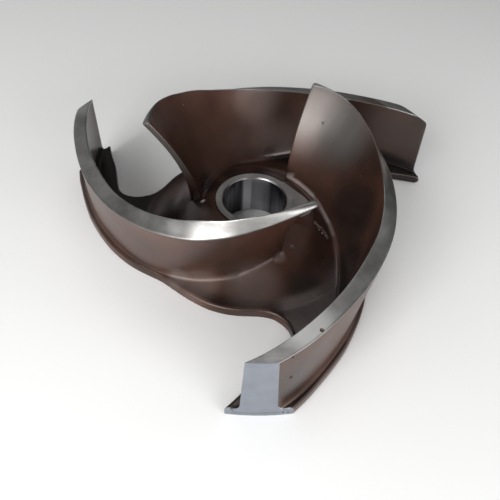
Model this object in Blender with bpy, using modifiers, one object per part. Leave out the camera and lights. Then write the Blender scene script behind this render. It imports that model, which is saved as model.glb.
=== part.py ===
# Open three-vane pulp pump impeller, one casting
# Metres, +Z up, bore axis on Z, origin at the centre of mass, vane 1's tip towards -Y

import math

import bmesh
import bpy
import numpy as np

name = "pulp_pump_impeller"
mm = 0.001

# Driving sizes, in millimetres, angles in degrees, heights from the flat back face
originHeight = 33.2
tipRadius = 200.0
vaneCount = 3
boreRadius = 30.0
boreChamfer = 1.2
ringRadius = 37.2
hubFaceHeight = 43.0
plateThickness = 10.0
plateRadius = 108.0
turnSteps = 96

# Front of the back plate, from the hub ring out: radius, height
hubSlope = [(37.5, 40.4), (44.0, 38.2), (51.0, 35.2), (61.0, 31.5), (72.0, 25.0), (84.0, 17.0),
            (96.0, 11.8)]

# Shallow relief turned in the back, between the boss and the plate's bearing face
bossRadius = 52.0
reliefOuterRadius = 78.0
reliefDepth = 5.0
reliefSlope = 3.0

# Land faced level with the hub ring, on the side where the casting stood proud: angle, radius
landOutline = [(46.0, 38.6), (37.8, 38.9), (28.2, 40.4), (17.4, 43.4), (10.3, 46.9), (2.0, 51.0),
               (-7.0, 54.6), (-15.0, 55.0), (-23.0, 51.0), (-32.0, 44.0), (-42.0, 38.6)]
landStartRadius = 34.0
landHeight = hubFaceHeight - 0.2
landFlare = 5.0
landFoot = 30.0

# Front edge of the vanes, turned on the casting: radius, height
frontProfile = [(90.0, 118.0), (94.0, 119.6), (97.5, 119.8), (100.5, 117.0), (103.5, 108.5), (107.0, 100.0),
                (112.0, 93.2), (120.0, 87.2), (130.0, 82.8), (144.0, 79.4), (164.0, 77.6), (200.0, 75.6)]

# Vane edges from the tip inwards: first and last angle, radii at equal steps between them
frontInner = (-90.1, 59.5, [200.0, 164.6, 139.5, 124.7, 113.4, 106.1, 102.5, 99.3, 93.4])
frontOuter = (-83.5, 58.9, [200.0, 170.0, 149.4, 135.0, 123.7, 115.0, 107.3, 102.8, 100.2])
rootInner = (-90.6, 54.8, [200.0, 165.5, 131.0, 103.2, 83.0, 67.0, 57.0, 52.4, 50.8])
rootOuter = (-82.4, 57.0, [200.0, 165.0, 139.0, 119.0, 100.5, 86.5, 76.0, 68.0, 60.5])
stationCount = 44
vaneOverrun = 0.06

# Near the inlet both sides of a vane hollow towards the axis, from this share of its length on
bowStart = 0.5
innerBow = 6.4
outerBow = 9.0
wallShares = (0.25, 0.5, 0.75)

# Fillet where a vane meets the plate, fading out at the inlet's sharp foot
rootFillet = 5.0
filletRise = 1.3
filletMiddle = 0.35
filletFade = 0.12
filletLeft = 0.1
filletBite = 0.6
sinkDepth = 6.0

# Outline of the plate for one vane: angle, radius, round the ledge outside the vane and the scallop
plateOutline = [(-84.0, 214.0), (-78.5, 200.0), (-74.8, 191.5), (-70.3, 181.4), (-64.8, 171.0),
                (-59.5, 162.4), (-54.0, 153.6), (-47.5, 144.6), (-40.6, 136.0), (-34.0, 128.0),
                (-28.0, 120.6), (-22.0, 114.0), (-16.0, 109.4), (-8.0, 107.6), (2.0, 107.6),
                (12.0, 108.8), (22.0, 108.6), (32.0, 107.4), (37.5, 108.6), (41.6, 111.8),
                (44.4, 117.4), (46.2, 124.0), (46.8, 131.0), (46.5, 138.0), (44.9, 145.4),
                (41.8, 152.0), (37.8, 160.0), (33.2, 171.6), (29.6, 186.0), (26.3, 200.0),
                (23.3, 214.0)]

# How far the forms that cut the casting reach beyond it
rimOverrun = 12.0
scallopReach = 48.0
scallopArcSteps = 8
cutLow = -10.0
cutHigh = 60.0
rimCutReach = 72.0
rimCutHigh = 130.0


def resetScene():
    for item in list(bpy.data.objects):
        bpy.data.objects.remove(item, do_unlink=True)


def makeCollection(label):
    group = bpy.data.collections.new(label)
    bpy.context.scene.collection.children.link(group)
    return group


def makeMaterial(label, colour, roughness, metallic):
    material = bpy.data.materials.new(label)
    material.use_nodes = True
    shader = material.node_tree.nodes["Principled BSDF"]
    shader.inputs["Base Color"].default_value = (*colour, 1.0)
    shader.inputs["Roughness"].default_value = roughness
    shader.inputs["Metallic"].default_value = metallic
    material.diffuse_color = (*colour, 1.0)
    return material


# Cubic curve through the given values, with slopes from their neighbours
def smoothThrough(places, values, wanted):
    places = np.asarray(places, dtype=float)
    values = np.asarray(values, dtype=float)
    slopes = np.gradient(values, places)
    slopes[0] = (values[1] - values[0]) / (places[1] - places[0])
    slopes[-1] = (values[-1] - values[-2]) / (places[-1] - places[-2])
    index = np.clip(np.searchsorted(places, wanted) - 1, 0, len(places) - 2)
    width = places[index + 1] - places[index]
    t = (wanted - places[index]) / width
    low = values[index] * (1 + 2 * t) * (1 - t) ** 2 + slopes[index] * width * t * (1 - t) ** 2
    high = values[index + 1] * t ** 2 * (3 - 2 * t) + slopes[index + 1] * width * t ** 2 * (t - 1)
    return low + high


def polarPoint(radius, angle, height):
    turn = math.radians(angle)
    return np.array([radius * math.cos(turn), radius * math.sin(turn), height])


def frontHeight(radius):
    radii, heights = zip(*frontProfile)
    return float(smoothThrough(radii, heights, min(radius, tipRadius)))


def plateHeight(radius):
    points = hubSlope + [(plateRadius, plateThickness), (tipRadius + rimOverrun, plateThickness)]
    radii, heights = zip(*points)
    return float(np.interp(radius, radii, heights))


def edgePoint(edge, share):
    start, end, radii = edge
    angle = start + (end - start) * share
    radius = smoothThrough(np.linspace(0, 1, len(radii)), radii, share)
    return float(radius), angle


def makeObject(label, mesh, group):
    item = bpy.data.objects.new(label, mesh)
    item.location.z = -originHeight * mm
    group.objects.link(item)
    return item


def hideForm(item):
    item.hide_render = True
    item.display_type = "WIRE"


# Turned solid from a closed outline of radius and height, run down its outer side
def makeTurned(label, profile, group):
    mesh = bpy.data.meshes.new(label)
    points = [(radius * mm, 0.0, height * mm) for radius, height in profile]
    edges = [(i, (i + 1) % len(points)) for i in range(len(points))]
    mesh.from_pydata(points, edges, [])
    item = makeObject(label, mesh, group)
    screw = item.modifiers.new("turn", "SCREW")
    screw.axis = "Z"
    screw.angle = math.radians(360.0)
    screw.steps = turnSteps
    screw.render_steps = turnSteps
    screw.use_merge_vertices = True
    screw.merge_threshold = 1e-6
    screw.use_smooth_shade = True
    return item


# Section of hub and back plate, down the outside from the ring and back up the bore
def plateProfile():
    rim = tipRadius + rimOverrun
    front = [(boreRadius, hubFaceHeight - boreChamfer), (boreRadius + boreChamfer, hubFaceHeight)]
    front += [(ringRadius, hubFaceHeight)] + hubSlope
    front += [(plateRadius, plateThickness), (rim, plateThickness)]
    back = [(rim, 0.0), (reliefOuterRadius, 0.0), (reliefOuterRadius - reliefSlope, reliefDepth)]
    back += [(bossRadius + reliefSlope, reliefDepth), (bossRadius, 0.0), (boreRadius + boreChamfer, 0.0)]
    back.append((boreRadius, boreChamfer))
    return front + back


# Section of the ring that is turned away to bring plate and vane tips to one radius
def rimProfile():
    far = tipRadius + rimCutReach
    return [(tipRadius, rimCutHigh), (far, rimCutHigh), (far, cutLow), (tipRadius, cutLow)]


# Closed plan outline of one scallop cutter, beyond the plate's edge
def scallopOutline(turn):
    angles, radii = zip(*plateOutline)
    along = np.arange(len(angles))
    steps = np.linspace(0, len(angles) - 1, 2 * len(angles) - 1)
    smoothAngles = smoothThrough(along, angles, steps)
    smoothRadii = smoothThrough(along, radii, steps)
    points = [polarPoint(r, a + turn, 0.0)[:2] for r, a in zip(smoothRadii, smoothAngles)]
    for share in np.linspace(0, 1, scallopArcSteps + 1):
        angle = angles[-1] + (angles[0] - angles[-1]) * share
        points.append(polarPoint(tipRadius + scallopReach, angle + turn, 0.0)[:2])
    return points


# Outline of the faced land at one level, its free side moved out by the flare
def landRing(flare):
    outside = [polarPoint(radius + flare, angle, 0.0)[:2] for angle, radius in landOutline]
    inside = [polarPoint(landStartRadius, angle, 0.0)[:2] for angle, radius in landOutline]
    return outside + inside[::-1]


# Solid between two like outlines, used to cut or to join
def makePrism(label, lowOutline, highOutline, low, high, group):
    mesh = bpy.data.meshes.new(label)
    shape = bmesh.new()
    bottom = [shape.verts.new((x * mm, y * mm, low * mm)) for x, y in lowOutline]
    top = [shape.verts.new((x * mm, y * mm, high * mm)) for x, y in highOutline]
    count = len(bottom)
    shape.faces.new(bottom[::-1])
    shape.faces.new(top)
    for i in range(count):
        j = (i + 1) % count
        shape.faces.new((bottom[i], bottom[j], top[j], top[i]))
    bmesh.ops.recalc_face_normals(shape, faces=shape.faces)
    shape.to_mesh(mesh)
    shape.free()
    item = makeObject(label, mesh, group)
    hideForm(item)
    return item


# Points down one side of a vane, from under its front edge to inside the plate
def wallPoints(top, base, spread, bow, fillet):
    length = np.linalg.norm(top - base)
    up = (top - base) / length
    inward = np.array([-base[0], -base[1], 0.0]) / math.hypot(base[0], base[1])
    filletShare = 1.0 - fillet * filletRise / length
    points = []
    for share in (*wallShares, filletShare):
        points.append(top + (base - top) * share + inward * bow * 4 * share * (1 - share))
    points.append(base + up * fillet * filletMiddle + spread * fillet * filletMiddle)
    foot = base + spread * fillet
    foot[2] = plateHeight(math.hypot(foot[0], foot[1])) - filletBite
    points.append(foot)
    points.append(foot - np.array([0.0, 0.0, sinkDepth]))
    return points


# Points round one section of a vane, from the front inner edge over the root and back
def vaneSection(share):
    innerTop = edgePoint(frontInner, share)
    outerTop = edgePoint(frontOuter, share)
    innerRoot = edgePoint(rootInner, share)
    outerRoot = edgePoint(rootOuter, share)
    topInner = polarPoint(*innerTop, frontHeight(innerTop[0]))
    topOuter = polarPoint(*outerTop, frontHeight(outerTop[0]))
    middleRadius = (innerTop[0] + outerTop[0]) / 2
    topMiddle = polarPoint(middleRadius, (innerTop[1] + outerTop[1]) / 2, frontHeight(middleRadius))
    baseInner = polarPoint(*innerRoot, plateHeight(innerRoot[0]))
    baseOuter = polarPoint(*outerRoot, plateHeight(outerRoot[0]))
    across = (baseOuter - baseInner) / np.linalg.norm(baseOuter - baseInner)
    bow = max(0.0, (share - bowStart) / (1.0 - bowStart)) ** 2
    fillet = rootFillet * min(1.0, filletLeft + (1.0 - share) / filletFade)
    inner = wallPoints(topInner, baseInner, -across, innerBow * bow, fillet)
    outer = wallPoints(topOuter, baseOuter, across, outerBow * bow, fillet)
    return [topInner] + inner + outer[::-1] + [topOuter, topMiddle]


def makeVane(label, turn, group):
    mesh = bpy.data.meshes.new(label)
    shape = bmesh.new()
    c = math.cos(math.radians(turn))
    s = math.sin(math.radians(turn))
    rings = []
    for share in np.linspace(-vaneOverrun, 1, stationCount):
        ring = []
        for x, y, z in vaneSection(float(share)):
            ring.append(shape.verts.new(((x * c - y * s) * mm, (x * s + y * c) * mm, z * mm)))
        rings.append(ring)
    count = len(rings[0])
    for first, second in zip(rings, rings[1:]):
        for i in range(count):
            j = (i + 1) % count
            shape.faces.new((first[i], first[j], second[j], second[i]))
    shape.faces.new(rings[0][::-1])
    shape.faces.new(rings[-1])
    bmesh.ops.recalc_face_normals(shape, faces=shape.faces)
    shape.to_mesh(mesh)
    shape.free()
    item = makeObject(label, mesh, group)
    hideForm(item)
    return item


def addBoolean(item, label, operation, other):
    cut = item.modifiers.new(label, "BOOLEAN")
    cut.operation = operation
    cut.object = other
    cut.solver = "EXACT"


def makeImpeller(parts, forms):
    casting = makeTurned("impeller_casting", plateProfile(), parts)
    turns = [-number * 360.0 / vaneCount for number in range(vaneCount)]
    for number, turn in enumerate(turns, 1):
        outline = scallopOutline(turn)
        scallop = makePrism(f"scallop_cut_{number}", outline, outline, cutLow, cutHigh, forms)
        addBoolean(casting, f"scallop_{number}", "DIFFERENCE", scallop)
    land = makePrism("land_form", landRing(landFlare), landRing(0.0), landFoot, landHeight, forms)
    addBoolean(casting, "land", "UNION", land)
    for number, turn in enumerate(turns, 1):
        vane = makeVane(f"vane_form_{number}", turn, forms)
        addBoolean(casting, f"vane_{number}", "UNION", vane)
    rimCut = makeTurned("rim_cut", rimProfile(), forms)
    hideForm(rimCut)
    addBoolean(casting, "rim", "DIFFERENCE", rimCut)
    return casting


resetScene()
partGroup = makeCollection(name)
formGroup = makeCollection("forms")
castIron = makeMaterial("cast_iron", (0.10, 0.065, 0.052), 0.42, 0.75)
impeller = makeImpeller(partGroup, formGroup)
impeller.data.materials.append(castIron)
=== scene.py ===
# Open pulp pump impeller: one iron casting, its vane edges, tips, hub face and bore machined bright
import math

import bmesh
import bpy
import numpy as np
from mathutils import Matrix, Vector, noise


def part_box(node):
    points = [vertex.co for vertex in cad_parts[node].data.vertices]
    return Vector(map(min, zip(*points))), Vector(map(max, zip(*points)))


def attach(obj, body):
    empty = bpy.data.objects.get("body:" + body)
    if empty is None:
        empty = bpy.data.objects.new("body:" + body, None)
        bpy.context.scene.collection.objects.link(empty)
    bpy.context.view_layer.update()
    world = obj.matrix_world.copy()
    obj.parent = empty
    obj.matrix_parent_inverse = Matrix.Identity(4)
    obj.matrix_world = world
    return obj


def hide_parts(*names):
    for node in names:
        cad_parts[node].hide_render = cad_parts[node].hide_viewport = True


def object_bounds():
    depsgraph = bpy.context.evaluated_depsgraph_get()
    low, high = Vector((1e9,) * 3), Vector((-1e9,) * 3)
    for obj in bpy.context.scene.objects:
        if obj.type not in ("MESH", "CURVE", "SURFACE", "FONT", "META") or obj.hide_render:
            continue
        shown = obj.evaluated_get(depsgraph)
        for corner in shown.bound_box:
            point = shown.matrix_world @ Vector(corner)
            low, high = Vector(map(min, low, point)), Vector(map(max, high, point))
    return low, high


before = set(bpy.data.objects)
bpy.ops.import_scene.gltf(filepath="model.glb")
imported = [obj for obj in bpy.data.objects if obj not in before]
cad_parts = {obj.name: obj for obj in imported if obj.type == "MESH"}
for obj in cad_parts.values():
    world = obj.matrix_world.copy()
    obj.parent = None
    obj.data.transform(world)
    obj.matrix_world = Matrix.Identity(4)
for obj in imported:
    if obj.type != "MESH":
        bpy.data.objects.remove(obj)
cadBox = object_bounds()
castingNode = "impeller_casting"
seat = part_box(castingNode)[0][2]  # back face of the wheel, where it rests on the floor
mm = 0.001
weld = 1e-7  # metres within which points are joined
tiny = 1e-6  # keeps divisions away from zero


# small tools

def hexColour(text):  # sRGB hex to the linear colour that shaders want
    parts = [int(text[i:i + 2], 16) / 255 for i in (1, 3, 5)]
    return [p / 12.92 if p <= 0.04045 else ((p + 0.055) / 1.055) ** 2.4 for p in parts] + [1.0]


def addNode(tree, kind, settings=None, links=None):  # settings name inputs or properties, links name inputs
    node = tree.nodes.new(kind)
    properties = {k: v for k, v in (settings or {}).items() if isinstance(k, str) and hasattr(node, k)}
    for name, value in properties.items():
        setattr(node, name, value)
    for name, value in (settings or {}).items():
        if name not in properties:
            node.inputs[name].default_value = value
    for name, source in (links or {}).items():
        tree.links.new(source, node.inputs[name])
    return node


def newObject(name, mesh):
    item = bpy.data.objects.new(name, mesh)
    bpy.context.scene.collection.objects.link(item)
    return item


def dropObject(item):
    mesh = item.data
    bpy.data.objects.remove(item)
    bpy.data.meshes.remove(mesh)


def bakedMesh(item, name):  # the object with its modifiers, as a plain mesh
    graph = bpy.context.evaluated_depsgraph_get()
    mesh = bpy.data.meshes.new_from_object(item.evaluated_get(graph), depsgraph=graph)
    mesh.name = name
    return mesh


def gridMesh(name, points, faces, zones, materials):  # points in millimetres from the back face
    mesh = bpy.data.meshes.new(name)
    mesh.from_pydata([(x * mm, y * mm, z * mm + seat) for x, y, z in points], [], faces)
    for material in materials:
        mesh.materials.append(material)
    mesh.polygons.foreach_set("material_index", zones)
    shape = bmesh.new()
    shape.from_mesh(mesh)
    bmesh.ops.remove_doubles(shape, verts=shape.verts, dist=weld)
    bmesh.ops.recalc_face_normals(shape, faces=shape.faces)
    shape.to_mesh(mesh)
    shape.free()
    return mesh


def smoothThrough(places, values, wanted):  # cubic curve through the given values
    places = np.asarray(places, dtype=float)
    values = np.asarray(values, dtype=float)
    slopes = np.gradient(values, places)
    slopes[0] = (values[1] - values[0]) / (places[1] - places[0])
    slopes[-1] = (values[-1] - values[-2]) / (places[-1] - places[-2])
    index = np.clip(np.searchsorted(places, wanted) - 1, 0, len(places) - 2)
    width = places[index + 1] - places[index]
    t = (wanted - places[index]) / width
    low = values[index] * (1 + 2 * t) * (1 - t) ** 2 + slopes[index] * width * t * (1 - t) ** 2
    high = values[index + 1] * t ** 2 * (3 - 2 * t) + slopes[index + 1] * width * t ** 2 * (t - 1)
    return low + high


def polar(radius, angle, height):
    turn = np.radians(angle)
    return np.stack([radius * np.cos(turn), radius * np.sin(turn), height + 0 * radius], axis=-1)


def ringFaces(rows, count, closed=False):  # quads between rows of points that each close on themselves
    faces = []
    for row in range(rows if closed else rows - 1):
        nextRow = (row + 1) % rows
        for i in range(count):
            j = (i + 1) % count
            faces.append((row * count + i, row * count + j, nextRow * count + j, nextRow * count + i))
    return faces


def meshPlaces(mesh):  # points in millimetres from the middle of the back face
    places = np.zeros(len(mesh.vertices) * 3)
    mesh.vertices.foreach_get("co", places)
    return places.reshape(-1, 3) / mm - (0, 0, seat / mm)


def meshNormals(mesh):
    normals = np.zeros(len(mesh.vertices) * 3, dtype=np.float32)
    mesh.vertex_normals.foreach_get("vector", normals)
    return normals.reshape(-1, 3)


def setPlaces(mesh, places):
    mesh.vertices.foreach_set("co", ((places + (0, 0, seat / mm)) * mm).ravel())
    mesh.update()


# materials

def startMaterial(name):
    material = bpy.data.materials.new(name)
    material.use_nodes = True
    tree = material.node_tree
    place = addNode(tree, "ShaderNodeTexCoord").outputs["Object"]
    return material, tree, tree.nodes["Principled BSDF"], place


def setInputs(shader, values):
    for name, value in values.items():
        shader.inputs[name].default_value = value


def layMark(tree, under, attribute, colour):  # one colour over another where the attribute says so
    mark = addNode(tree, "ShaderNodeAttribute", {"attribute_name": attribute}).outputs["Fac"]
    mixed = addNode(tree, "ShaderNodeMix", {"data_type": "RGBA", 7: hexColour(colour)}, {0: mark, 6: under})
    return mixed.outputs[2], mark


castLook = {  # sizes and depths in millimetres
    # besides the browns: a near-black painted shade, a grey for worn iron that is also painted highlight, and
    # a pale painted highlight
    "browns": [(0.32, "#2b1b13"), (0.5, "#3d261d"), (0.7, "#4b3228")], "bareAndHighlight": "#6f6e6c",
    "paintedShade": "#151312", "paintedHighlight": "#c4b8b3", "sheen": "#f0dcd6", "patchSize": 60.0, "grainSize": 2.2,
    "grainDepth": 0.1, "grainStrength": 0.3, "detail": 3.0, "roughFrom": 0.29, "roughTo": 0.4,
    "shadeRough": 0.22, "highlightRough": 0.6, "oilIor": 1.6, "bareAndHighlightMetal": 0.85,
}


# Sand-cast grey iron under a brown oxide scale, oiled: dark, with a soft neutral sheen off the oil.
# Where the skin is worn through the grey iron shows, and the same grey is also laid on as painted
# highlight; painted shade darkens the low and hollow parts of the passages, and a pale colour paints
# highlights.
def makeCastSkin():
    look = castLook
    material, tree, shader, place = startMaterial("oiledCastIron")
    patches = addNode(tree, "ShaderNodeTexNoise", {"Scale": 1 / (look["patchSize"] * mm),
                                                   "Detail": look["detail"]}, {"Vector": place})
    brown = addNode(tree, "ShaderNodeValToRGB", links={"Fac": patches.outputs["Fac"]})
    brown.color_ramp.elements.new(look["browns"][1][0])
    for stop, (at, colour) in zip(brown.color_ramp.elements, look["browns"]):
        stop.position = at
        stop.color = hexColour(colour)
    # painted shade: near-black laid over the brown where shade falls
    shadedSkin, paintedShade = layMark(tree, brown.outputs["Color"], "paintedShade", look["paintedShade"])
    # worn grey iron at the tips, inlet ends and rim, and the same grey as painted highlight on inner faces
    # near the inlets and at two spots
    wornAndLit, bareAndHighlight = layMark(tree, shadedSkin, "bareAndHighlight", look["bareAndHighlight"])
    # painted highlight: a pale colour laid where light catches the roots and some faces
    litSkin, paintedHighlight = layMark(tree, wornAndLit, "paintedHighlight", look["paintedHighlight"])
    tree.links.new(litSkin, shader.inputs["Base Color"])
    metal = addNode(tree, "ShaderNodeMath", {"operation": "MULTIPLY", 1: look["bareAndHighlightMetal"]}, {0: bareAndHighlight})
    tree.links.new(metal.outputs[0], shader.inputs["Metallic"])
    gloss = addNode(tree, "ShaderNodeMapRange", {"To Min": look["roughFrom"], "To Max": look["roughTo"]},
                    {"Value": patches.outputs["Fac"]})
    oiled = addNode(tree, "ShaderNodeMix", {"data_type": "FLOAT", 3: look["shadeRough"]},
                    {0: paintedShade, 2: gloss.outputs["Result"]})
    dry = addNode(tree, "ShaderNodeMix", {"data_type": "FLOAT", 3: look["highlightRough"]},
                  {0: paintedHighlight, 2: oiled.outputs[0]})
    tree.links.new(dry.outputs[0], shader.inputs["Roughness"])
    grain = addNode(tree, "ShaderNodeTexNoise", {"Scale": 1 / (look["grainSize"] * mm),
                                                 "Detail": look["detail"]}, {"Vector": place})
    bump = addNode(tree, "ShaderNodeBump", {"Strength": look["grainStrength"],
                                            "Distance": look["grainDepth"] * mm},
                   {"Height": grain.outputs["Fac"]})
    tree.links.new(bump.outputs["Normal"], shader.inputs["Normal"])
    setInputs(shader, {"IOR": look["oilIor"], "Specular Tint": hexColour(look["sheen"])})
    return material


turnedLook = {  # the feed of the tool, the smears and the depth of the rings in millimetres
    # the pale grey is a painted highlight on the strips
    "greys": [(0.5, "#868583"), (0.85, "#a09f9d")], "stain": "#6b5a50", "reflectionGrey": "#d2d2d0",
    "feed": 0.9, "drift": 0.004, "ringDetail": 2.0, "ringShare": 0.35, "ringStrength": 0.2,
    "ringDepth": 0.03, "smear": 14.0, "smearDetail": 4.0, "rough": 0.34, "anisotropy": 0.7,
    "glareTurn": 0.25,
}


# Iron faced in a lathe: grey, with fine rings round the axis that stretch each highlight across them
def makeTurned():
    look = turnedLook
    material, tree, shader, place = startMaterial("turnedIron")
    part = addNode(tree, "ShaderNodeSeparateXYZ", links={0: place})
    flat = addNode(tree, "ShaderNodeVectorMath", {"operation": "MULTIPLY", 1: (1.0, 1.0, 0.0)}, {0: place})
    radius = addNode(tree, "ShaderNodeVectorMath", {"operation": "LENGTH"}, {0: flat.outputs[0]})
    along = addNode(tree, "ShaderNodeMath", {"operation": "SUBTRACT"},
                    {0: radius.outputs["Value"], 1: part.outputs["Z"]})
    angle = addNode(tree, "ShaderNodeMath", {"operation": "ARCTAN2"},
                    {0: part.outputs["Y"], 1: part.outputs["X"]})
    slow = addNode(tree, "ShaderNodeMath", {"operation": "MULTIPLY", 1: look["drift"]}, {0: angle.outputs[0]})
    lane = addNode(tree, "ShaderNodeCombineXYZ", links={"X": along.outputs[0], "Y": slow.outputs[0]})
    rings = addNode(tree, "ShaderNodeTexNoise", {"Scale": 1 / (look["feed"] * mm),
                                                 "Detail": look["ringDetail"]}, {"Vector": lane.outputs[0]})
    smears = addNode(tree, "ShaderNodeTexNoise", {"Scale": 1 / (look["smear"] * mm),
                                                  "Detail": look["smearDetail"]}, {"Vector": place})
    tone = addNode(tree, "ShaderNodeMath", {"operation": "MULTIPLY_ADD", 1: look["ringShare"]},
                   {0: rings.outputs["Fac"], 2: smears.outputs["Fac"]})
    grey = addNode(tree, "ShaderNodeValToRGB", links={"Fac": tone.outputs[0]})
    for stop, (at, colour) in zip(grey.color_ramp.elements, look["greys"]):
        stop.position = at
        stop.color = hexColour(colour)
    stained = layMark(tree, grey.outputs["Color"], "stain", look["stain"])[0]
    # painted highlight: a pale grey laid on two turned strips where they glint
    reflectionGrey = layMark(tree, stained, "paintedReflection", look["reflectionGrey"])[0]
    tree.links.new(reflectionGrey, shader.inputs["Base Color"])
    bump = addNode(tree, "ShaderNodeBump", {"Strength": look["ringStrength"],
                                            "Distance": look["ringDepth"] * mm},
                   {"Height": rings.outputs["Fac"]})
    tree.links.new(bump.outputs["Normal"], shader.inputs["Normal"])
    tangent = addNode(tree, "ShaderNodeTangent", {"direction_type": "RADIAL", "axis": "Z"})
    tree.links.new(tangent.outputs[0], shader.inputs["Tangent"])
    setInputs(shader, {"Metallic": 1.0, "Roughness": look["rough"], "Anisotropic": look["anisotropy"],
                       "Anisotropic Rotation": look["glareTurn"]})
    return material


boredLook = {  # the feed of the tool, the streaks and the depth of the rings in millimetres
    # the streak greys and the pale grey are painted reflections in the bore
    "greys": [(0.42, "#434245"), (0.56, "#737278")], "reflectionStripes": "#dcdce0",
    "feed": 0.8, "ringPull": (0.02, 0.02, 1.0), "ringDetail": 2.0, "ringStrength": 0.2, "ringDepth": 0.03,
    "streak": 6.0, "streakPull": (1.0, 1.0, 0.06), "streakDetail": 3.0, "rough": 0.22,
}


# Bored iron: smooth, with faint rings round the hole; the streaks down it and the pale stripes are painted
# reflections
def makeBored():
    look = boredLook
    material, tree, shader, place = startMaterial("boredIron")
    squeeze = addNode(tree, "ShaderNodeMapping", {"Scale": look["ringPull"]}, {"Vector": place})
    rings = addNode(tree, "ShaderNodeTexNoise", {"Scale": 1 / (look["feed"] * mm),
                                                 "Detail": look["ringDetail"]},
                    {"Vector": squeeze.outputs[0]})
    stretch = addNode(tree, "ShaderNodeMapping", {"Scale": look["streakPull"]}, {"Vector": place})
    streaks = addNode(tree, "ShaderNodeTexNoise", {"Scale": 1 / (look["streak"] * mm),
                                                   "Detail": look["streakDetail"]},
                      {"Vector": stretch.outputs[0]})
    grey = addNode(tree, "ShaderNodeValToRGB", links={"Fac": streaks.outputs["Fac"]})
    for stop, (at, colour) in zip(grey.color_ramp.elements, look["greys"]):
        stop.position = at
        stop.color = hexColour(colour)
    # painted reflection: pale stripes down the bore and a painted highlight on its chamfer
    reflectionStripes = layMark(tree, grey.outputs["Color"], "paintedReflection", look["reflectionStripes"])[0]
    tree.links.new(reflectionStripes, shader.inputs["Base Color"])
    bump = addNode(tree, "ShaderNodeBump", {"Strength": look["ringStrength"],
                                            "Distance": look["ringDepth"] * mm},
                   {"Height": rings.outputs["Fac"]})
    tree.links.new(bump.outputs["Normal"], shader.inputs["Normal"])
    setInputs(shader, {"Metallic": 1.0, "Roughness": look["rough"]})
    return material


groundLook = {
    "greys": [(0.35, "#888c94"), (0.6, "#91969f")], "scuffSize": 20.0, "detail": 3.0, "metal": 0.85,
    "rough": 0.5,
}


# Iron ground to its outside diameter: a pale, even, matt grey with faint scuffs
def makeGround():
    look = groundLook
    material, tree, shader, place = startMaterial("groundIron")
    scuffs = addNode(tree, "ShaderNodeTexNoise", {"Scale": 1 / (look["scuffSize"] * mm),
                                                  "Detail": look["detail"]}, {"Vector": place})
    grey = addNode(tree, "ShaderNodeValToRGB", links={"Fac": scuffs.outputs["Fac"]})
    for stop, (at, colour) in zip(grey.color_ramp.elements, look["greys"]):
        stop.position = at
        stop.color = hexColour(colour)
    tree.links.new(grey.outputs["Color"], shader.inputs["Base Color"])
    setInputs(shader, {"Metallic": look["metal"], "Roughness": look["rough"]})
    return material


castSkin = makeCastSkin()
turnedIron = makeTurned()
boredIron = makeBored()
groundIron = makeGround()
ironZones = [castSkin, turnedIron, groundIron, boredIron]
skinZone, turnedZone, groundZone, boredZone = range(4)
print("materials made")


# hub and back plate

hub = {  # millimetres, the slope as radius and height
    "boreRadius": 30.0, "boreChamfer": 1.2, "ringRadius": 37.2, "faceHeight": 43.0,
    "thickness": 10.0, "plateRadius": 108.0, "rimRadius": 199.97, "rimBreak": 0.5,
    "slope": [(37.5, 40.4), (44.0, 38.2), (51.0, 35.2), (61.0, 31.5), (72.0, 25.0), (84.0, 17.0),
              (96.0, 11.8), (108.0, 10.0)],
    "bossRadius": 52.0, "reliefRadius": 78.0, "reliefDepth": 5.0, "reliefSlope": 3.0, "ringBreak": 0.3,
    "steps": 240, "slopeSteps": 44, "flangeSteps": 26, "backSteps": 16, "boreSteps": 8,
}


def plateHeight(radius):
    radii, heights = zip(*hub["slope"])
    smooth = smoothThrough(radii, heights, np.clip(radius, radii[0], radii[-1]))
    return np.where(radius < hub["plateRadius"], smooth, hub["thickness"])


def turnedGrid(name, profile, zones, steps):  # closed section of radius and height, turned round the axis
    turn = np.arange(steps) * 360.0 / steps
    points = np.concatenate([polar(np.full(steps, r), turn, z) for r, z in profile])
    faceZones = [zone for zone in zones for step in range(steps)]
    return gridMesh(name, points, ringFaces(len(profile), steps, closed=True), faceZones, ironZones)


def makeHub():
    h = hub
    front = [(h["boreRadius"], h["faceHeight"] - h["boreChamfer"], turnedZone),
             (h["boreRadius"] + h["boreChamfer"], h["faceHeight"], turnedZone),
             (h["ringRadius"] - h["ringBreak"], h["faceHeight"], turnedZone),
             (h["ringRadius"], h["faceHeight"] - h["ringBreak"], skinZone)]
    for radius in np.linspace(h["slope"][0][0], h["plateRadius"], h["slopeSteps"]):
        front.append((radius, float(plateHeight(radius)), skinZone))
    rim = h["rimRadius"]
    for radius in np.linspace(h["plateRadius"], rim - h["rimBreak"], h["flangeSteps"])[1:]:
        front.append((radius, h["thickness"], skinZone))
    front[-1] = (*front[-1][:2], groundZone)
    back = [(rim, h["thickness"] - h["rimBreak"], groundZone), (rim, h["rimBreak"], groundZone),
            (rim - h["rimBreak"], 0.0, turnedZone)]
    for radius in np.linspace(rim, h["reliefRadius"], h["backSteps"])[1:]:
        back.append((radius, 0.0, turnedZone))
    back += [(h["reliefRadius"] - h["reliefSlope"], h["reliefDepth"], turnedZone),
             (h["bossRadius"] + h["reliefSlope"], h["reliefDepth"], turnedZone),
             (h["bossRadius"], 0.0, turnedZone), (h["boreRadius"] + h["boreChamfer"], 0.0, turnedZone)]
    for height in np.linspace(h["boreChamfer"], h["faceHeight"] - h["boreChamfer"], h["boreSteps"])[:-1]:
        back.append((h["boreRadius"], height, boredZone))
    profile = [(r, z) for r, z, zone in front + back]
    zones = [zone for r, z, zone in front + back]
    return newObject("hubForm", turnedGrid("hubForm", profile, zones, h["steps"]))


# scallops in the plate

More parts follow.
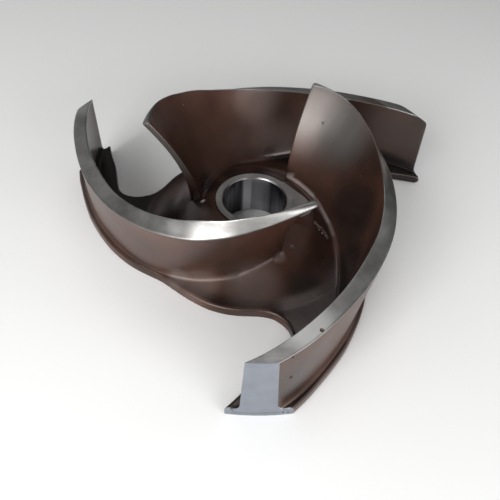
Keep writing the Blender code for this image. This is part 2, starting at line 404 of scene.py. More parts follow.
scallop = {  # the outline as angle in degrees and radius
    "outline": [(-84.0, 214.0), (-78.5, 200.0), (-74.8, 191.5), (-70.3, 181.4), (-64.8, 171.0),
                (-59.5, 162.4), (-54.0, 153.6), (-47.5, 144.6), (-40.6, 136.0), (-34.0, 128.0),
                (-28.0, 120.6), (-22.0, 114.0), (-16.0, 109.4), (-8.0, 107.6), (2.0, 107.6),
                (12.0, 108.8), (22.0, 108.6), (32.0, 107.4), (37.5, 108.6), (41.6, 111.8),
                (44.4, 117.4), (46.2, 124.0), (46.8, 131.0), (46.5, 138.0), (44.9, 145.4),
                (41.8, 152.0), (37.8, 160.0), (33.2, 171.6), (29.6, 186.0), (26.3, 200.0),
                (23.3, 214.0)],
    "widest": 22, "finer": 5, "reach": 250.0, "reachSteps": 9, "topRound": 2.4, "bottomRound": 1.8,
    "roundSteps": 5, "below": -6.0, "above": 60.0, "overlap": 0.01, "flare": 0.2,
}


def outlineRadius(angle):  # edge of the plate outside a vane, up to its widest angle
    angles, radii = zip(*scallop["outline"][:scallop["widest"]])
    return smoothThrough(angles, radii, np.clip(angle, angles[0], angles[-1]))


def scallopLoops():
    s = scallop
    angles, radii = zip(*s["outline"])
    along = np.arange(len(angles))
    steps = np.linspace(0, len(angles) - 1, s["finer"] * (len(angles) - 1) + 1)
    edge = polar(smoothThrough(along, radii, steps), smoothThrough(along, angles, steps), 0.0)[:, :2]
    run = np.gradient(edge, axis=0)
    out = np.stack([run[:, 1], -run[:, 0]], axis=1) / np.linalg.norm(run, axis=1)[:, None]
    if np.dot(out[len(out) // 2], edge[len(edge) // 2]) > 0:
        out = -out  # towards the plate
    turns = np.linspace(angles[-1], angles[0], s["reachSteps"])
    far = polar(np.full(len(turns), s["reach"]), turns, 0.0)[:, :2]
    low, high, top = s["bottomRound"], s["topRound"], hub["thickness"]
    levels = [(s["below"], low)]  # height, and how far the cut grows there to round the plate's edges
    for turn in np.radians(np.linspace(0, 90, s["roundSteps"])):
        rise = math.sin(turn)
        levels.append((rise * low - s["overlap"], low * (1 - math.sqrt(max(0.0, 1 - (1 - rise) ** 2)))))
    for turn in np.radians(np.linspace(0, 90, s["roundSteps"])):
        levels.append((top - high + math.sin(turn) * high + s["overlap"], high * (1 - math.cos(turn))))
    levels.append((s["above"], high + s["flare"]))
    return [(z, np.concatenate([edge + out * grow, far])) for z, grow in levels]


def makeScallopForm():
    loops = scallopLoops()
    count = len(loops[0][1])
    points = np.concatenate([np.column_stack([loop, np.full(count, z)]) for z, loop in loops])
    faces = ringFaces(len(loops), count)
    faces.append(tuple(range(count)))
    faces.append(tuple(range((len(loops) - 1) * count, len(loops) * count)))
    mesh = gridMesh("scallopForm", points, faces, [skinZone] * len(faces), ironZones)
    return newObject("scallopForm", mesh)


# vanes

vane = {  # the front as radius and height, each edge as its first and last angle and its radii between
    "count": 3, "tipRadius": 200.0,
    "front": [(90.0, 118.0), (94.0, 119.6), (97.5, 119.8), (100.5, 117.0), (103.5, 108.5), (107.0, 100.0),
              (112.0, 93.2), (120.0, 87.2), (130.0, 82.8), (144.0, 79.4), (164.0, 77.6), (200.0, 75.6)],
    "frontInner": (-90.1, 59.5, [200.0, 164.6, 139.5, 124.7, 113.4, 106.1, 102.5, 99.3, 93.4]),
    "frontOuter": (-83.5, 58.9, [200.0, 170.0, 149.4, 135.0, 123.7, 115.0, 107.3, 102.8, 100.2]),
    "rootInner": (-90.6, 54.8, [200.0, 165.5, 131.0, 103.2, 83.0, 67.0, 57.0, 52.4, 50.8]),
    "rootOuter": (-82.4, 57.0, [200.0, 165.0, 139.0, 119.0, 100.5, 86.5, 76.0, 68.0, 60.5]),
    "bowStart": 0.5, "innerBow": 6.4, "outerBow": 9.0,
    "edgeBreak": 1.0, "fillet": 5.5, "filletRise": 1.3, "filletFade": 0.12, "filletLeft": 0.25,
    "sink": 0.06, "ledgeEdge": 1.9, "tipBreak": 0.5, "endRound": 1.7,
    "stations": 210, "edgeSteps": 4, "stripSteps": 4, "wallSteps": 14, "filletSteps": 8, "endSteps": 5,
    "capSteps": 6, "overrun": 0.07, "alongSteps": 700, "tipSteps": 200, "stripReach": 0.44,
    "ledgeLeast": 0.6, "footDrop": 0.8, "footPull": 0.1, "bury": 4.0, "endGap": 0.3, "endSpread": 4,
}


def frontHeight(radius):
    radii, heights = zip(*vane["front"])
    return smoothThrough(radii, heights, np.minimum(radius, vane["tipRadius"]))


def edgeCurve(name, share):  # radius and angle along one of the vane's four edges
    start, end, radii = vane[name]
    return smoothThrough(np.linspace(0, 1, len(radii)), radii, share), start + (end - start) * share


def bezier(first, handle, last, t):
    return first * (1 - t) ** 2 + handle * 2 * t * (1 - t) + last * t ** 2


def sideLines(share, side):  # lines along one side of the vane, from the strip's middle down into the plate
    v = vane
    own, other = ("Inner", "Outer") if side == "inner" else ("Outer", "Inner")
    topRadius, topAngle = edgeCurve("front" + own, share)
    farRadius, farAngle = edgeCurve("front" + other, share)
    rootRadius, rootAngle = edgeCurve("root" + own, share)
    farRoot = polar(*edgeCurve("root" + other, share), 0.0)
    top = polar(topRadius, topAngle, frontHeight(topRadius))
    base = polar(rootRadius, rootAngle, plateHeight(rootRadius))
    farRoot[:, 2] = plateHeight(np.hypot(farRoot[:, 0], farRoot[:, 1]))
    spread = base - farRoot
    spread /= np.linalg.norm(spread, axis=1)[:, None]
    width = np.linalg.norm(top - polar(farRadius, farAngle, frontHeight(farRadius)), axis=1)
    length = np.linalg.norm(base - top, axis=1)
    inward = -base * (1, 1, 0) / np.hypot(base[:, 0], base[:, 1])[:, None]
    bow = np.clip((share - v["bowStart"]) / (1 - v["bowStart"]), 0, None) ** 2 * v[side + "Bow"]

    def wall(h):
        return top + (base - top) * h[:, None] + inward * (bow * 4 * h * (1 - h))[:, None]

    def strip(w):
        radius = topRadius + (farRadius - topRadius) * w
        return polar(radius, topAngle + (farAngle - topAngle) * w, frontHeight(radius))

    lines = []
    breakShare = v["edgeBreak"] / width
    for step in range(v["stripSteps"] + 1):
        blend = step / v["stripSteps"]
        lines.append(strip(v["stripReach"] * (1 - blend) + breakShare * blend))
    low = wall(v["edgeBreak"] / length)
    for t in np.linspace(0, 1, v["edgeSteps"] + 1)[1:]:
        lines.append(bezier(strip(breakShare), top, low, t))
    fillet = v["fillet"] * np.minimum(1.0, v["filletLeft"] + (1.0 - share) / v["filletFade"])
    start = v["edgeBreak"] / length
    end = 1 - fillet * v["filletRise"] / length
    for step in range(1, v["wallSteps"] + 1):
        lines.append(wall(start + (end - start) * step / v["wallSteps"]))
    foot = base + spread * fillet[:, None]
    footRadius = np.hypot(foot[:, 0], foot[:, 1])
    if side == "outer":  # stay on the ledge
        angle = np.degrees(np.arctan2(foot[:, 1], foot[:, 0]))
        allowed = np.maximum(outlineRadius(angle) - v["ledgeEdge"], rootRadius + v["ledgeLeast"])
        foot[:, :2] *= np.minimum(1.0, allowed / footRadius)[:, None]
        footRadius = np.hypot(foot[:, 0], foot[:, 1])
    foot[:, 2] = plateHeight(footRadius) - v["sink"]
    for step in range(1, v["filletSteps"] + 1):
        lines.append(bezier(wall(end), base, foot, step / v["filletSteps"]))
    lines.append(foot - (0.0, 0.0, v["footDrop"]) - (base - foot) * v["footPull"])
    lines.append(foot - (0.0, 0.0, v["bury"]))
    return lines


def makeVaneForm():
    v = vane
    dense = np.linspace(-v["overrun"], 1, v["alongSteps"])
    near = slice(v["tipSteps"])
    inner = sideLines(dense, "inner")
    outer = sideLines(dense, "outer")
    lines = inner[::-1] + outer
    half = len(inner)
    stripRows = v["stripSteps"] + v["edgeSteps"]
    rings = []
    for line in lines:  # trimmed to the turned tip radius, one line at a time
        radius = np.hypot(line[:, 0], line[:, 1])
        tip = np.interp(-v["tipRadius"], -radius[near], dense[near])
        tipBreak = np.interp(-(v["tipRadius"] - v["tipBreak"]), -radius[near], dense[near])
        share = np.concatenate([[tip], tipBreak + (1 - tipBreak) * np.linspace(0, 1, v["stations"])])
        rings.append(np.stack([np.interp(share, dense, line[:, k]) for k in range(3)], axis=1))
    rings = np.stack(rings, axis=1)  # station, line, xyz
    mirror = np.arange(2 * half)[::-1]
    middle = (rings + rings[:, mirror]) / 2
    inset = middle - rings
    inset /= np.maximum(np.linalg.norm(inset, axis=2), tiny)[..., None]
    rings[0] += inset[0] * v["tipBreak"]
    rings[0] *= (v["tipRadius"] / np.hypot(rings[0][:, 0], rings[0][:, 1]))[:, None] * (1, 1, 0) + (0, 0, 1)
    run = rings[-1] - rings[-2]
    run /= np.linalg.norm(run, axis=1)[:, None]
    base = rings[-1] - run * v["endRound"]
    gap = np.linalg.norm(rings[:-1] - rings[-1], axis=2).min(axis=1)
    keep = int(np.sum(gap > v["endRound"] + v["endGap"]))
    topWeight = np.clip(1 - np.abs(np.arange(2 * half) - half + 0.5) / (stripRows + v["endSpread"]), 0, 1)
    rounded = []
    for turn in np.linspace(0, 90, v["endSteps"] + 1):
        forward = math.sin(math.radians(turn)) * v["endRound"]
        inside = (1 - math.cos(math.radians(turn))) * v["endRound"]
        ring = base + run * forward + inset[-1] * inside
        ring[:, 2] -= inside * topWeight
        rounded.append(ring)
    rings = np.concatenate([rings[:keep], np.stack(rounded)])
    stations, count = rings.shape[:2]
    points = rings.reshape(-1, 3).tolist()
    faces = ringFaces(stations, count)
    zones = []
    for row in range(stations - 1):
        nose = row >= stations - v["endSteps"]
        for i in range(count):
            strip = abs(i + 1 - half) <= stripRows
            zones.append(groundZone if row == 0 else turnedZone if strip and not nose else skinZone)
    for ring, first in ((rings[0], 0), (rings[-1], (stations - 1) * count)):  # ends, across the thickness
        endZone = groundZone if first == 0 else skinZone
        columns = np.linspace(0, 1, v["capSteps"] + 1)
        index = np.zeros((half, len(columns)), dtype=int)
        for row in range(half):
            a, b = half - 1 - row, half + row
            for c, t in enumerate(columns):
                if c == 0 or c == len(columns) - 1:
                    index[row, c] = first + (a if c == 0 else b)
                    continue
                point = ring[a] * (1 - t) + ring[b] * t
                if first == 0:
                    point[:2] *= v["tipRadius"] / math.hypot(point[0], point[1])
                index[row, c] = len(points)
                points.append(point.tolist())
        for row in range(half - 1):
            for c in range(len(columns) - 1):
                faces.append((index[row, c], index[row, c + 1], index[row + 1, c + 1], index[row + 1, c]))
                zones.append(endZone)
        faces += [tuple(index[0]), tuple(index[-1])]
        zones += [endZone, endZone]
    faces = [tuple(int(k) for k in face) for face in faces]
    mesh = gridMesh("vaneForm", points, faces, zones, ironZones)
    zone = mesh.attributes.new("zone", "INT", "FACE")
    values = np.zeros(len(mesh.polygons), dtype=np.int32)
    mesh.polygons.foreach_get("material_index", values)
    zone.data.foreach_set("value", values)
    return newObject("vaneForm", mesh)


# Geometry Nodes: any form repeated round the axis, its zones given their materials

def makeRoundTree():
    tree = bpy.data.node_groups.new("repeatRound", "GeometryNodeTree")
    sockets = tree.interface
    sockets.new_socket("Geometry", in_out="INPUT", socket_type="NodeSocketGeometry")
    sockets.new_socket("Form", in_out="INPUT", socket_type="NodeSocketObject")
    sockets.new_socket("Count", in_out="INPUT", socket_type="NodeSocketInt").default_value = vane["count"]
    sockets.new_socket("Skin", in_out="INPUT", socket_type="NodeSocketMaterial")
    sockets.new_socket("Turned", in_out="INPUT", socket_type="NodeSocketMaterial")
    sockets.new_socket("Ground", in_out="INPUT", socket_type="NodeSocketMaterial")
    sockets.new_socket("Geometry", in_out="OUTPUT", socket_type="NodeSocketGeometry")
    given = addNode(tree, "NodeGroupInput").outputs
    form = addNode(tree, "GeometryNodeObjectInfo", links={"Object": given["Form"]})
    points = addNode(tree, "GeometryNodePoints", links={"Count": given["Count"]})
    index = addNode(tree, "GeometryNodeInputIndex")
    step = addNode(tree, "ShaderNodeMath", {"operation": "DIVIDE", 0: -2 * math.pi}, {1: given["Count"]})
    turn = addNode(tree, "ShaderNodeMath", {"operation": "MULTIPLY"},
                   {0: step.outputs[0], 1: index.outputs[0]})
    turned = addNode(tree, "ShaderNodeCombineXYZ", links={"Z": turn.outputs[0]})
    copies = addNode(tree, "GeometryNodeInstanceOnPoints",
                     links={"Points": points.outputs[0], "Instance": form.outputs["Geometry"],
                            "Rotation": turned.outputs[0]})
    shape = addNode(tree, "GeometryNodeRealizeInstances", links={0: copies.outputs[0]}).outputs[0]
    zone = addNode(tree, "GeometryNodeInputNamedAttribute", {"data_type": "INT", "Name": "zone"})
    for number, name in enumerate(("Skin", "Turned", "Ground")):
        match = addNode(tree, "FunctionNodeCompare", {"data_type": "INT", "operation": "EQUAL", 3: number},
                        {2: zone.outputs["Attribute"]})
        shape = addNode(tree, "GeometryNodeSetMaterial",
                        links={"Geometry": shape, "Selection": match.outputs[0], "Material": given[name]})
        shape = shape.outputs[0]
    addNode(tree, "NodeGroupOutput", links={0: shape})
    return tree


def repeatRound(form, tree, name):
    holder = newObject(name, bpy.data.meshes.new(name))
    ring = holder.modifiers.new("round", "NODES")
    ring.node_group = tree
    sockets = {item.name: item.identifier for item in tree.interface.items_tree if item.in_out == "INPUT"}
    ring[sockets["Form"]] = form
    ring[sockets["Count"]] = vane["count"]
    ring[sockets["Skin"]] = castSkin
    ring[sockets["Turned"]] = turnedIron
    ring[sockets["Ground"]] = groundIron
    mesh = bakedMesh(holder, name)
    dropObject(holder)
    dropObject(form)
    return newObject(name, mesh)


# land beside the hub ring

land = {  # the outline as angle in degrees and radius
    "outline": [(46.0, 38.6), (37.8, 38.9), (28.2, 40.4), (17.4, 43.4), (10.3, 46.9), (2.0, 51.0),
                (-7.0, 54.6), (-15.0, 55.0), (-23.0, 51.0), (-32.0, 44.0), (-42.0, 38.6)],
    "start": 34.0, "height": 42.8, "foot": 30.0, "flare": 5.0, "edge": 0.4, "edgeFlare": 0.1,
    "edgeBreak": 0.3, "finer": 4,
}


def makeLand():
    k = land
    angles, radii = zip(*k["outline"])
    along = np.arange(len(angles))
    steps = np.linspace(0, len(angles) - 1, k["finer"] * (len(angles) - 1) + 1)
    radius = smoothThrough(along, radii, steps)
    angle = smoothThrough(along, angles, steps)
    inner = np.full(len(steps), k["start"])
    levels = [(k["foot"], k["flare"]), (k["height"] - k["edge"], k["edgeFlare"]),
              (k["height"], -k["edgeBreak"])]
    loops = [np.concatenate([polar(radius + grow, angle, z), polar(inner, angle, z)[::-1]])
             for z, grow in levels]
    count = len(loops[0])
    points = np.concatenate(loops)
    faces = ringFaces(len(loops), count)
    zones = [skinZone] * len(faces)
    faces += [tuple(range(count)), tuple(range(2 * count, 3 * count))]
    zones += [skinZone, turnedZone]
    return newObject("landForm", gridMesh("landForm", points, faces, zones, ironZones))


# casting flaws and knocks

flaws = {  # each pit's place from the middle of the back face, and its radius
    "pits": [((52.8, -170.4, 76.7), 1.7), ((7.8, -199.6, 75.7), 1.4), ((33.9, -191.2, 46.3), 1.5),
             ((32.7, -191.7, 73.4), 1.2), ((31.7, -197.4, 4.8), 0.9), ((35.6, -196.7, 4.1), 0.9),
             ((-33.8, 83.8, 55.7), 1.1), ((-73.5, 62.0, 100.2), 1.0), ((-23.7, 18.3, 39.4), 1.2),
             ((60.3, 55.3, 94.4), 1.3), ((94.1, 1.0, 77.0), 1.1), ((-50.3, -79.4, 16.2), 1.2),
             ((25.5, -60.0, 30.0), 1.0), ((29.0, -58.0, 29.6), 0.8), ((24.6, -63.4, 28.0), 0.9)],
    "slit": [(59.6, -18.6, 30.2), (62.6, -21.6, 28.4), (65.6, -23.8, 26.4), (69.0, -27.2, 23.6)],
    "slitPits": 13, "slitSize": (0.9, 1.5), "seed": 4, "bumps": 0.25, "bumpFineness": 1.3, "rounds": 2,
}


def makePitForm():  # a ball one millimetre in radius, dented
    shape = bmesh.new()
    bmesh.ops.create_icosphere(shape, subdivisions=flaws["rounds"], radius=mm)
    for vert in shape.verts:
        vert.co *= 1 + flaws["bumps"] * noise.noise(vert.co / mm * flaws["bumpFineness"])
    mesh = bpy.data.meshes.new("pitForm")
    shape.to_mesh(mesh)
    shape.free()
    return newObject("pitForm", mesh)


def makePitTree():  # Geometry Nodes: one pit on each spot, at its size, turned at random
    tree = bpy.data.node_groups.new("scatterPits", "GeometryNodeTree")
    sockets = tree.interface
    sockets.new_socket("Geometry", in_out="INPUT", socket_type="NodeSocketGeometry")
    sockets.new_socket("Pit", in_out="INPUT", socket_type="NodeSocketObject")
    sockets.new_socket("Seed", in_out="INPUT", socket_type="NodeSocketInt")
    sockets.new_socket("Skin", in_out="INPUT", socket_type="NodeSocketMaterial")
    sockets.new_socket("Geometry", in_out="OUTPUT", socket_type="NodeSocketGeometry")
    given = addNode(tree, "NodeGroupInput").outputs
    pit = addNode(tree, "GeometryNodeObjectInfo", links={"Object": given["Pit"]})
    size = addNode(tree, "GeometryNodeInputNamedAttribute", {"data_type": "FLOAT", "Name": "size"})
    turn = addNode(tree, "FunctionNodeRandomValue", {"data_type": "FLOAT_VECTOR", 0: (-math.pi,) * 3,
                                                     1: (math.pi,) * 3}, {"Seed": given["Seed"]})
    copies = addNode(tree, "GeometryNodeInstanceOnPoints",
                     links={"Points": given["Geometry"], "Instance": pit.outputs["Geometry"],
                            "Rotation": turn.outputs["Value"], "Scale": size.outputs["Attribute"]})
    shape = addNode(tree, "GeometryNodeRealizeInstances", links={0: copies.outputs[0]})
    skinned = addNode(tree, "GeometryNodeSetMaterial", links={"Geometry": shape.outputs[0],
                                                              "Material": given["Skin"]})
    addNode(tree, "NodeGroupOutput", links={0: skinned.outputs[0]})
    return tree


def makePits():
    f = flaws
    pits = list(f["pits"])
    path = np.array(f["slit"])
    small, large = f["slitSize"]
    for t in np.linspace(0, 1, f["slitPits"]):
        place = [np.interp(t * (len(path) - 1), range(len(path)), path[:, k]) for k in range(3)]
        pits.append((place, small + (large - small) * math.sin(math.pi * t)))
    mesh = bpy.data.meshes.new("pits")
    mesh.from_pydata([(x * mm, y * mm, z * mm + seat) for (x, y, z), size in pits], [], [])
    mesh.attributes.new("size", "FLOAT", "POINT").data.foreach_set("value", [size for place, size in pits])
    holder = newObject("pits", mesh)
    form = makePitForm()
    scatter = holder.modifiers.new("scatter", "NODES")
    scatter.node_group = makePitTree()
    sockets = {item.name: item.identifier for item in scatter.node_group.interface.items_tree
               if item.in_out == "INPUT"}
    scatter[sockets["Pit"]] = form
    scatter[sockets["Seed"]] = f["seed"]
    scatter[sockets["Skin"]] = castSkin
    ring = newObject("pitRing", bakedMesh(holder, "pitRing"))
    dropObject(holder)
    dropObject(form)
    return ring


worn = {  # places and radii in millimetres, angles in degrees
    "tipAngle": 33.2, "tipReach": 9.0, "tipRound": 9.0,
    "footSpot": (179.3, 88.6), "footRound": 5.0, "footLeft": 1.2,
}


def wearCorners(mesh):  # the rear right tip and the end of its ledge were knocked round
    w = worn
    places = meshPlaces(mesh)
    radius = np.hypot(places[:, 0], places[:, 1])
    angle = np.degrees(np.arctan2(places[:, 1], places[:, 0]))
    middle = vane["tipRadius"] - w["tipRound"]
    level = float(frontHeight(np.array([middle]))[0]) - w["tipRound"]
    out, up = radius - middle, places[:, 2] - level
    far = np.hypot(out, up)
    near = (np.abs(angle - w["tipAngle"]) < w["tipReach"]) & (out > 0) & (up > 0) & (far > w["tipRound"])
    pull = np.where(near, w["tipRound"] / np.maximum(far, tiny), 1.0)
    newRadius = np.where(near, middle + out * pull, radius)
    places[:, :2] *= (newRadius / radius)[:, None]
    places[:, 2] = np.where(near, level + up * pull, places[:, 2])
    away = np.hypot(places[:, 0] - w["footSpot"][0], places[:, 1] - w["footSpot"][1])
    half = hub["thickness"] / 2
    room = np.sqrt(np.maximum(half ** 2 - np.clip(w["footRound"] - away, 0, w["footRound"]) ** 2, 0))
    room = np.maximum(room, w["footLeft"])
    low = (away < w["footRound"]) & (places[:, 2] < hub["thickness"] + hub["rimBreak"])
    places[:, 2] = np.where(low, np.clip(places[:, 2], half - room, half + room), places[:, 2])
    setPlaces(mesh, places)


# the casting, in one mesh

def cutOrJoin(item, name, operation, other):
    step = item.modifiers.new(name, "BOOLEAN")
    step.operation = operation
    step.object = other
    step.solver = "EXACT"
    step.material_mode = "TRANSFER"


def makeCasting():
    tree = makeRoundTree()
    hubForm = makeHub()
    scallops = repeatRound(makeScallopForm(), tree, "scallopRing")
    vanes = repeatRound(makeVaneForm(), tree, "vaneRing")
    landForm = makeLand()
    pits = makePits()
    print("forms made:", len(hubForm.data.polygons), len(vanes.data.polygons))
    cutOrJoin(hubForm, "scallops", "DIFFERENCE", scallops)
    cutOrJoin(hubForm, "land", "UNION", landForm)
    cutOrJoin(hubForm, "vanes", "UNION", vanes)
    cutOrJoin(hubForm, "pits", "DIFFERENCE", pits)
    mesh = bakedMesh(hubForm, "pulp_impeller")
    for form in (hubForm, scallops, vanes, landForm, pits):
        dropObject(form)
    return newObject("pulp_impeller", mesh)


skinWave = {"reach": 0.22, "length": 28.0, "fine": 0.06, "fineLength": 6.0}


def waveSkin(mesh):  # slow unevenness of the cast faces, none on machined ones
    w = skinWave
    machined = np.zeros(len(mesh.vertices), dtype=bool)
    for face in mesh.polygons:
        if mesh.materials[face.material_index] is not castSkin:
            machined[list(face.vertices)] = True
    places = meshPlaces(mesh)
    rises = np.zeros(len(places))
    for i in np.flatnonzero(~machined):
        place = Vector(places[i] + (0, 0, seat / mm))
        slow = noise.noise(place / w["length"]) * w["reach"]
        rises[i] = slow + noise.noise(place / w["fineLength"]) * w["fine"]
    places += meshNormals(mesh) * rises[:, None]
    top = (cadBox[1][2] - seat) / mm
    places[:, 2] = np.minimum(places[:, 2], top)  # nothing stands above the machined edges
    setPlaces(mesh, places)


# heights, radii and angles between which each mark fades in, facings as cosines, and its greatest share
wearAndLight = {
    "tipFrom": 174.0, "tipTo": 189.0, "tipSlope": 0.22, "tipLevel": 40.0, "tipFacing": (0.05, 0.4),
    "tipFoot": (8.0, 30.0), "tipShare": 0.1,
    "endFacing": (0.4, 0.8), "endHeight": (45.0, 95.0), "endReach": 110.0, "endShare": 0.6,
    # brow: painted highlight, metallic grey laid on the inner faces of the vanes near their inlets
    "browHeight": (56.0, 96.0), "browReach": (92.0, 114.0), "brow": (2.0, 24.0, 72.0, 92.0, 0.68),
    "rimReach": (138.0, 165.0), "rimFacing": (0.2, 0.6), "rimShare": 0.2,
    # painted shade: darker low over the plate's outer part and the feet of the vanes, and on inward faces far
    # out
    "shadeRise": (6.0, 26.0), "shadeReach": (88.0, 112.0), "shadeFacing": (0.1, 0.5),
    "hollowFacing": (0.2, 0.6), "hollowReach": (104.0, 126.0), "hollowShare": 0.45,
    # painted reflection: pale stripes down the bore, and a painted highlight round its chamfer
    "reflectionStripes": [(94.0, 99.0, 111.0, 116.0, 1.0), (56.0, 78.0, 94.0, 99.0, 0.5)],
    "chamfer": (60.0, 70.0, 108.0, 118.0, 0.9),
    "stain": (-20.0, -2.0, 44.0, 62.0, 0.7), "stainReach": (100.0, 178.0),
    "margin": 0.1, "core": 0.3, "sharpFrom": 38.0,
}
# places in millimetres from the middle of the back face, how far round them, and how strongly
spots = {
    # painted highlights: two small grey spots on the fronts of two vanes
    "bareAndHighlight": [((-78.3, -93.6, 86.1), 2.6, 1.0), ((-99.8, 9.7, 116.8), 9.0, 0.9)],
    # painted highlights on the turned strips of two vanes
    "paintedReflection": [((46.0, -170.0, 76.0), 29.0, 0.7), ((-176.0, 92.0, 76.0), 30.0, 0.8)],
    # painted shade: dark patches on the passage floors, the hub cone round the ring, the slit, hollow faces
    # and near the tips
    "paintedShade": [((63.0, -23.5, 26.5), 2.6, 1.0), ((66.5, -27.0, 24.0), 2.8, 1.0),
             ((70.0, -31.0, 21.5), 2.4, 1.0), ((54.4, -85.0, 11.4), 34.0, 0.8),
             ((73.0, -55.0, 15.0), 24.0, 0.6), ((62.0, -40.0, 24.0), 18.0, 0.4),
             ((-62.0, -8.0, 30.0), 34.0, 0.9), ((-84.0, 4.0, 24.0), 30.0, 0.8),
             ((-46.0, 22.0, 38.0), 22.0, 0.9), ((-22.0, 45.0, 40.0), 22.0, 0.9),
             ((8.0, 48.0, 40.0), 22.0, 0.9), ((28.0, 40.0, 41.0), 14.0, 0.7),
             ((92.0, -22.0, 50.0), 54.0, 0.85), ((102.0, 4.0, 92.0), 34.0, 0.6),
             ((84.0, -62.0, 30.0), 42.0, 0.9), ((34.0, -192.0, 42.0), 36.0, 0.6),
             ((55.0, -172.0, 48.0), 26.0, 0.4), ((-20.0, 92.0, 50.0), 30.0, 0.2),
             ((14.0, 112.0, 28.0), 26.0, 0.5)],
    # painted highlights: pale spots and patches where the light falls, and a bright spot at a vane's foot
    "paintedHighlight": [((-49.2, -0.5, 35.9), 2.6, 0.9), ((25.4, -60.5, 29.0), 7.5, 0.1),
              ((27.5, -57.5, 30.2), 3.2, 0.2), ((22.6, -63.6, 28.6), 3.4, 0.16),
              ((36.5, -48.5, 31.6), 2.4, 0.14), ((4.0, -84.0, 17.0), 34.0, 0.08),
              ((-44.0, -84.0, 12.0), 24.0, 0.1), ((-62.0, -78.0, 14.0), 16.0, 0.14),
              ((-4.0, 114.0, 78.0), 34.0, 0.08), ((150.0, 96.0, 60.0), 62.0, 0.07)],
}
# painted highlights: pale lines along the root fillets of the vanes and the edge of the slit: the places they
# run through, half width and strength
paintedHighlightLines = [
    ([(31.5, 41.5, 38.6), (37.1, 37.2, 38.7), (44.1, 30.4, 38.5), (51.0, 23.1, 37.6), (56.8, 16.1, 36.4)],
     2.4, 0.42),
    ([(56.8, 16.1, 36.4), (62.5, 8.0, 34.0), (66.7, 0.1, 30.8), (71.7, -9.4, 27.0)], 2.2, 0.22),
    ([(71.7, -9.4, 27.0), (76.6, -21.4, 21.8)], 2.0, 0.1),
    ([(-9.0, -78.1, 21.5), (1.6, -74.4, 25.0), (10.2, -70.2, 27.7), (18.8, -64.1, 29.7)], 1.6, 0.28),
    ([(58.4, -16.1, 31.7), (61.4, -18.5, 29.6), (64.5, -19.6, 27.7), (67.5, -21.9, 25.6),
      (70.5, -26.2, 22.8)], 1.4, 0.4),
]


def fade(values, start, end):  # 0 at start, 1 at end, soft at both
    t = np.clip((values - start) / (end - start), 0, 1)
    return t * t * (3 - 2 * t)


def band(angle, first, second, third, last, share):  # strongest between the second and third angle
    return fade(angle, first, second) * (1 - fade(angle, third, last)) * share


def lineDistance(points, path):  # from each point to the nearest stretch of the path
    nearest = np.full(len(points), np.inf)
    for start, end in zip(np.array(path[:-1]), np.array(path[1:])):
        along = end - start
        t = np.clip((points - start) @ along / (along @ along), 0, 1)
        nearest = np.minimum(nearest, np.linalg.norm(points - start - t[:, None] * along, axis=1))
    return nearest


def markWearAndLight(mesh):  # how far each point is worn grey, stained, or given painted highlight, painted reflection or painted shade
    w = wearAndLight
    places = meshPlaces(mesh)
    normals = meshNormals(mesh)
    x, y, z = places.T
    radius = np.hypot(x, y)
    angle = np.degrees(np.arctan2(y, x))
    outwards = (normals[:, 0] * x + normals[:, 1] * y) / radius
    forwards = (normals[:, 1] * x - normals[:, 0] * y) / radius
    above = z - plateHeight(radius)
    tips = fade(radius + w["tipSlope"] * (z - w["tipLevel"]), w["tipFrom"], w["tipTo"])
    tips *= fade(outwards, *w["tipFacing"]) * fade(above, *w["tipFoot"]) * w["tipShare"]
    ends = fade(forwards, *w["endFacing"]) * fade(z, *w["endHeight"]) * w["endShare"]
    ends *= radius < w["endReach"]
    # brow is a painted highlight on the inner faces near the inlets; tips, ends and rim are wear
    brow = fade(z, *w["browHeight"]) * (1 - fade(radius, *w["browReach"])) * band(angle, *w["brow"])
    rim = fade(radius, *w["rimReach"]) * fade(outwards, *w["rimFacing"]) * w["rimShare"]
    rim *= z < hub["thickness"] + hub["rimBreak"]
    # painted shade: darker low over the plate's outer part and the feet of the vanes, and on inward faces far
    # out
    deep = (1 - fade(above, *w["shadeRise"])) * fade(radius, *w["shadeReach"])
    deep *= 1 - fade(outwards, *w["shadeFacing"])
    hollow = fade(-outwards, *w["hollowFacing"]) * fade(radius, *w["hollowReach"]) * w["hollowShare"]
    inBore = radius < hub["boreRadius"] + hub["boreChamfer"] - w["margin"]
    onChamfer = inBore & (z > hub["faceHeight"] - hub["boreChamfer"] - w["margin"])
    onStrip = (radius > w["stainReach"][0]) & (radius < w["stainReach"][1])
    # painted reflection: pale stripes down the bore, and a painted highlight on its chamfer
    reflectionStripes = [band(angle, *stripeBand) * inBore for stripeBand in w["reflectionStripes"]]
    reflectionStripes.append(band(angle, *w["chamfer"]) * onChamfer)
    marks = {
        "bareAndHighlight": [tips, ends, brow, rim],
        "paintedShade": [deep, hollow],
        "paintedReflection": reflectionStripes,
        "stain": [band(angle, *w["stain"]) * onStrip],
        "paintedHighlight": [(1 - fade(lineDistance(places, path), half * w["core"], half)) * share
                  for path, half, share in paintedHighlightLines],
    }
    for name, layers in marks.items():
        for spot, reach, share in spots.get(name, []):
            near = 1 - fade(np.linalg.norm(places - spot, axis=1), reach * w["core"], reach)
            layers.append(near * share)
        values = np.max(layers, axis=0).astype(np.float32)
        mesh.attributes.new(name, "FLOAT", "POINT").data.foreach_set("value", values)


def finishCasting(item):
    mesh = item.data
    waveSkin(mesh)
    wearCorners(mesh)
    markWearAndLight(mesh)
    mesh.shade_smooth()
    mesh.set_sharp_from_angle(angle=math.radians(wearAndLight["sharpFrom"]))


casting = makeCasting()
finishCasting(casting)
print("casting made:", len(casting.data.polygons), "faces")
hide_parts(castingNode)
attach(casting, "root")


# floor, light and camera

stageLook = {"floor": "#fbfbfa", "floorHalf": 4.0, "floorRough": 0.9, "world": "#ffffff",
             "worldStrength": 0.11}


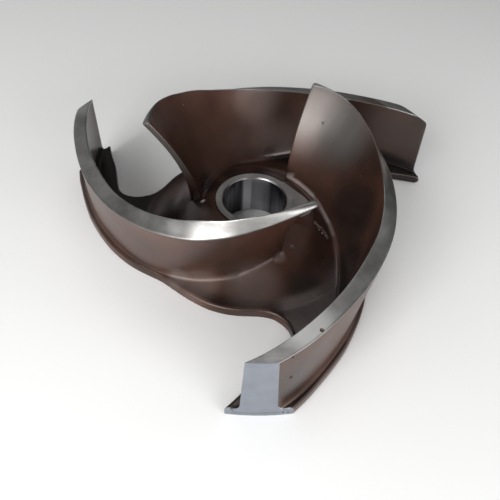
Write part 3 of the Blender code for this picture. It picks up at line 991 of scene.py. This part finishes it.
# Painted studio floor: plain, matt and pale
def makeFloor():
    mesh = bpy.data.meshes.new("studioFloor")
    half = stageLook["floorHalf"]
    mesh.from_pydata([(-half, -half, seat), (half, -half, seat), (half, half, seat), (-half, half, seat)],
                     [], [(0, 1, 2, 3)])
    floor = newObject("studioFloor", mesh)
    material = bpy.data.materials.new("mattFloorPaint")
    material.use_nodes = True
    shader = material.node_tree.nodes["Principled BSDF"]
    shader.inputs["Base Color"].default_value = hexColour(stageLook["floor"])
    shader.inputs["Roughness"].default_value = stageLook["floorRough"]
    mesh.materials.append(material)


def makeWorld():
    world = bpy.data.worlds.new("studioWorld")
    world.use_nodes = True
    sky = world.node_tree.nodes["Background"]
    sky.inputs["Color"].default_value = hexColour(stageLook["world"])
    sky.inputs["Strength"].default_value = stageLook["worldStrength"]
    bpy.context.scene.world = world


# Each soft box: azimuth and height in degrees as seen from the wheel, and its power
softBoxes = {
    "keyLow": (-120.0, 16.0, 9.6), "keyHigh": (-120.0, 35.0, 8.2), "keyLeft": (-145.0, 35.0, 2.8),
    "keyFront": (-95.0, 16.0, 2.5), "frontRight": (-70.0, 16.0, 5.0), "right": (-45.0, 16.0, 8.8),
    "overhead": (90.0, 72.0, 2.0), "backRight": (10.0, 35.0, 1.2), "back": (75.0, 58.0, 0.6),
    "backLeft": (135.0, 28.0, 0.8), "left": (175.0, 40.0, 0.9),
}
softBoxDistance = 1.5  # metres from the place they are aimed at
softBoxAim = 0.06  # metres, its height above the floor
softBoxSide = 0.75  # metres


def makeLights():
    aim = Vector((0, 0, seat + softBoxAim))
    for name, (azimuth, height, power) in softBoxes.items():
        data = bpy.data.lights.new(name, "AREA")
        data.size = softBoxSide
        data.energy = power
        lamp = bpy.data.objects.new(name, data)
        bpy.context.scene.collection.objects.link(lamp)
        a, h = math.radians(azimuth), math.radians(height)
        away = Vector((math.cos(a) * math.cos(h), math.sin(a) * math.cos(h), math.sin(h)))
        lamp.location = aim + away * softBoxDistance
        lamp.rotation_euler = away.to_track_quat("Z", "Y").to_euler()


# Camera: distance from the hub's front face, angles in degrees, focal length and width of the film
view = {"distance": 534.63, "elevation": 41.834, "pan": -0.208, "tilt": 47.122, "roll": 3.438, "lens": 40.342,
        "film": 36.0}


def makeCamera():
    e, p, t, r = (math.radians(view[k]) for k in ("elevation", "pan", "tilt", "roll"))
    back, up = view["distance"] * math.cos(e), view["distance"] * math.sin(e)
    place = Vector((0, -back * mm, (up + hub["faceHeight"]) * mm + seat))
    forward = Vector((math.sin(p) * math.cos(t), math.cos(p) * math.cos(t), -math.sin(t)))
    right = Vector((math.cos(p), -math.sin(p), 0))
    up = right.cross(forward)
    side = right * math.cos(r) + up * math.sin(r)
    rise = up * math.cos(r) - right * math.sin(r)
    data = bpy.data.cameras.new("photoView")
    data.sensor_width = view["film"]
    data.lens = view["lens"]
    camera = bpy.data.objects.new("photoView", data)
    bpy.context.scene.collection.objects.link(camera)
    turn = Matrix((side, rise, -forward)).transposed().to_4x4()
    camera.matrix_world = Matrix.Translation(place) @ turn
    bpy.context.scene.camera = camera


bpy.context.scene.view_settings.view_transform = "Standard"
makeFloor()
makeWorld()
makeLights()
makeCamera()
print("stage made")
